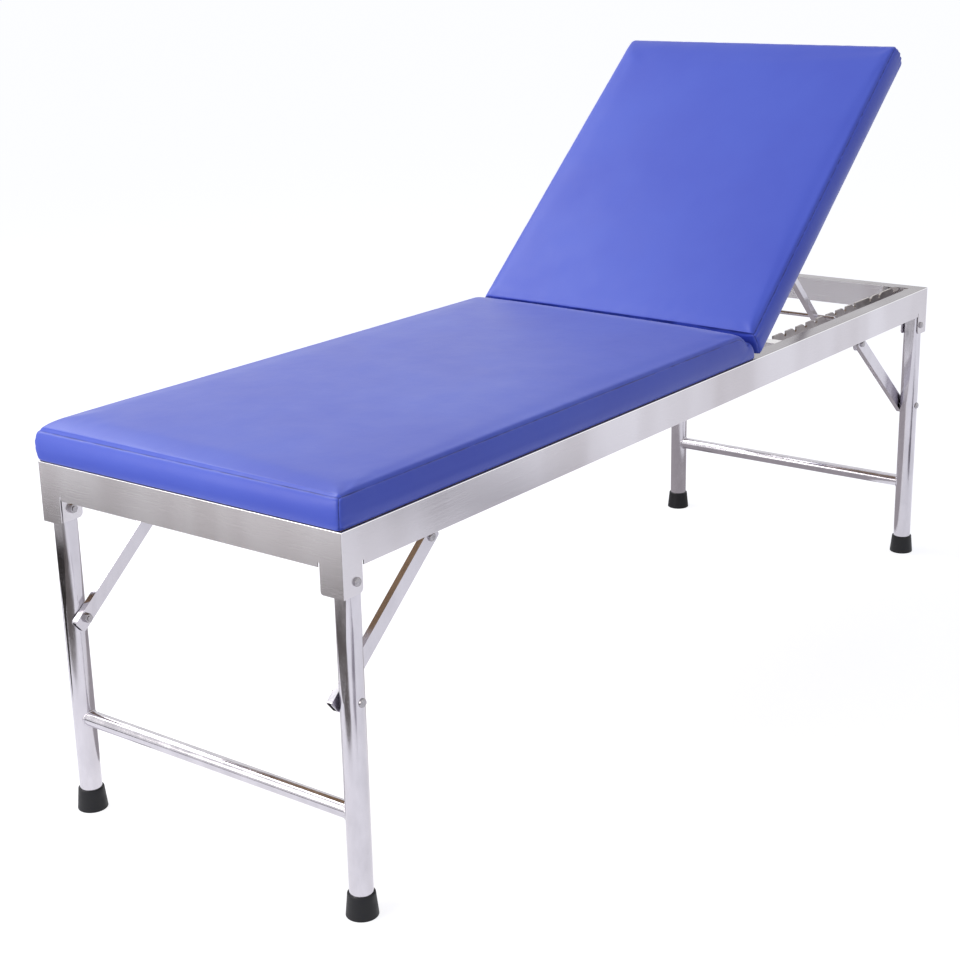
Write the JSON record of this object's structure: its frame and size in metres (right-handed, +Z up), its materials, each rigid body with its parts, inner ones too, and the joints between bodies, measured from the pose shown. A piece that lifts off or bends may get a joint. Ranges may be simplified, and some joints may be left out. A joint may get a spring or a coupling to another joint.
{
  "type": "recovery couch",
  "caption": "Padded recovery couch on a folding steel frame, with a backrest that a bar prop holds up in toothed racks.",
  "frame": {"origin": "on the floor under the middle of the couch's length and width", "axes": "+X along the couch towards the head end, +Y to the right of a person lying on it, +Z up"},
  "size_m": [1.9, 0.6226, 1.1073],
  "materials": {
    "satin_sheet": "satin stainless sheet",
    "polished_tube": "polished stainless tube",
    "bolt_steel": "polished stainless",
    "rack_steel": "dull steel plate",
    "black_rubber": "matte",
    "board": "plain plywood",
    "blue_vinyl": "blue vinyl over foam, satin sheen"
  },
  "bodies": {
    "frame": {"side_rail_left": "satin_sheet", "side_rail_right": "satin_sheet", "foot_rail": "satin_sheet", "head_rail": "satin_sheet", "seat_crossmember": "satin_sheet", "hinge_crossmember": "satin_sheet", "rack_crossmember": "satin_sheet", "rack_left": "rack_steel", "rack_right": "rack_steel", "rack_bolts": "bolt_steel", "hinge_pins": "bolt_steel", "seat_hinge_leaf_left": "satin_sheet", "seat_hinge_leaf_right": "satin_sheet", "seat_board": "board", "seat_pad": "blue_vinyl", "seat_screws": "bolt_steel", "leg_pivot_bolts": "bolt_steel", "leg_pivot_nuts": "bolt_steel", "leg_pivot_washers": "bolt_steel", "strut_pivot_bolts": "bolt_steel", "strut_pivot_nuts": "bolt_steel", "foot_corner_bracket_left": "satin_sheet", "foot_strut_bracket_left": "satin_sheet", "foot_corner_bracket_right": "satin_sheet", "foot_strut_bracket_right": "satin_sheet", "head_corner_bracket_left": "satin_sheet", "head_strut_bracket_left": "satin_sheet", "head_corner_bracket_right": "satin_sheet", "head_strut_bracket_right": "satin_sheet"},
    "backrest": {"backrest_board": "board", "backrest_pad": "blue_vinyl", "backrest_screws": "bolt_steel", "backrest_hinge_leaf_left": "satin_sheet", "backrest_hinge_leaf_right": "satin_sheet", "prop_bracket_left": "satin_sheet", "prop_bracket_right": "satin_sheet", "prop_pivot_bolts": "bolt_steel", "prop_pivot_nuts": "bolt_steel"},
    "prop": {"prop_arm_left": "polished_tube", "prop_arm_right": "polished_tube", "prop_rod": "bolt_steel"},
    "foot_legs": {"foot_leg_left": "polished_tube", "foot_leg_right": "polished_tube", "foot_rubber_left": "black_rubber", "foot_rubber_right": "black_rubber", "foot_crossbar": "polished_tube", "foot_strut_bolts": "bolt_steel"},
    "foot_struts": {"foot_strut_left": "polished_tube", "foot_strut_right": "polished_tube", "foot_strut_nuts": "bolt_steel"},
    "head_legs": {"head_leg_left": "polished_tube", "head_leg_right": "polished_tube", "head_rubber_left": "black_rubber", "head_rubber_right": "black_rubber", "head_crossbar": "polished_tube", "head_strut_bolts": "bolt_steel"},
    "head_struts": {"head_strut_left": "polished_tube", "head_strut_right": "polished_tube", "head_strut_nuts": "bolt_steel"}
  },
  "joints": [
    {"name": "backrest_hinge", "type": "hinge", "parent": "frame", "child": "backrest", "pos_m": [0.204, 0, 0.585], "axis": [0, -1, 0], "range_deg": [-40.3, 22.8]},
    {"name": "prop_hinge", "type": "hinge", "parent": "backrest", "child": "prop", "pos_m": [0.41506, 0, 0.75744], "axis": [0, -1, 0], "range_deg": [-48, 84.8]},
    {"name": "foot_legs_fold", "type": "hinge", "parent": "frame", "child": "foot_legs", "pos_m": [-0.923, 0, 0.514], "axis": [0, -1, 0], "range_deg": [0, 80]},
    {"name": "foot_struts_swing", "type": "hinge", "parent": "frame", "child": "foot_struts", "pos_m": [-0.715, 0, 0.51], "axis": [0, -1, 0], "range_deg": [-0.1, 142.5]},
    {"name": "head_legs_fold", "type": "hinge", "parent": "frame", "child": "head_legs", "pos_m": [0.923, 0, 0.514], "axis": [0, 1, 0], "range_deg": [0, 80]},
    {"name": "head_struts_swing", "type": "hinge", "parent": "frame", "child": "head_struts", "pos_m": [0.715, 0, 0.51], "axis": [0, 1, 0], "range_deg": [-0.1, 142.5]}
  ],
  "couplings": [
    {"joint": "prop_hinge", "follows": "backrest_hinge", "ratio": -2.1033},
    {"joint": "foot_struts_swing", "follows": "foot_legs_fold", "ratio": 1.78},
    {"joint": "head_struts_swing", "follows": "head_legs_fold", "ratio": 1.78}
  ]
}
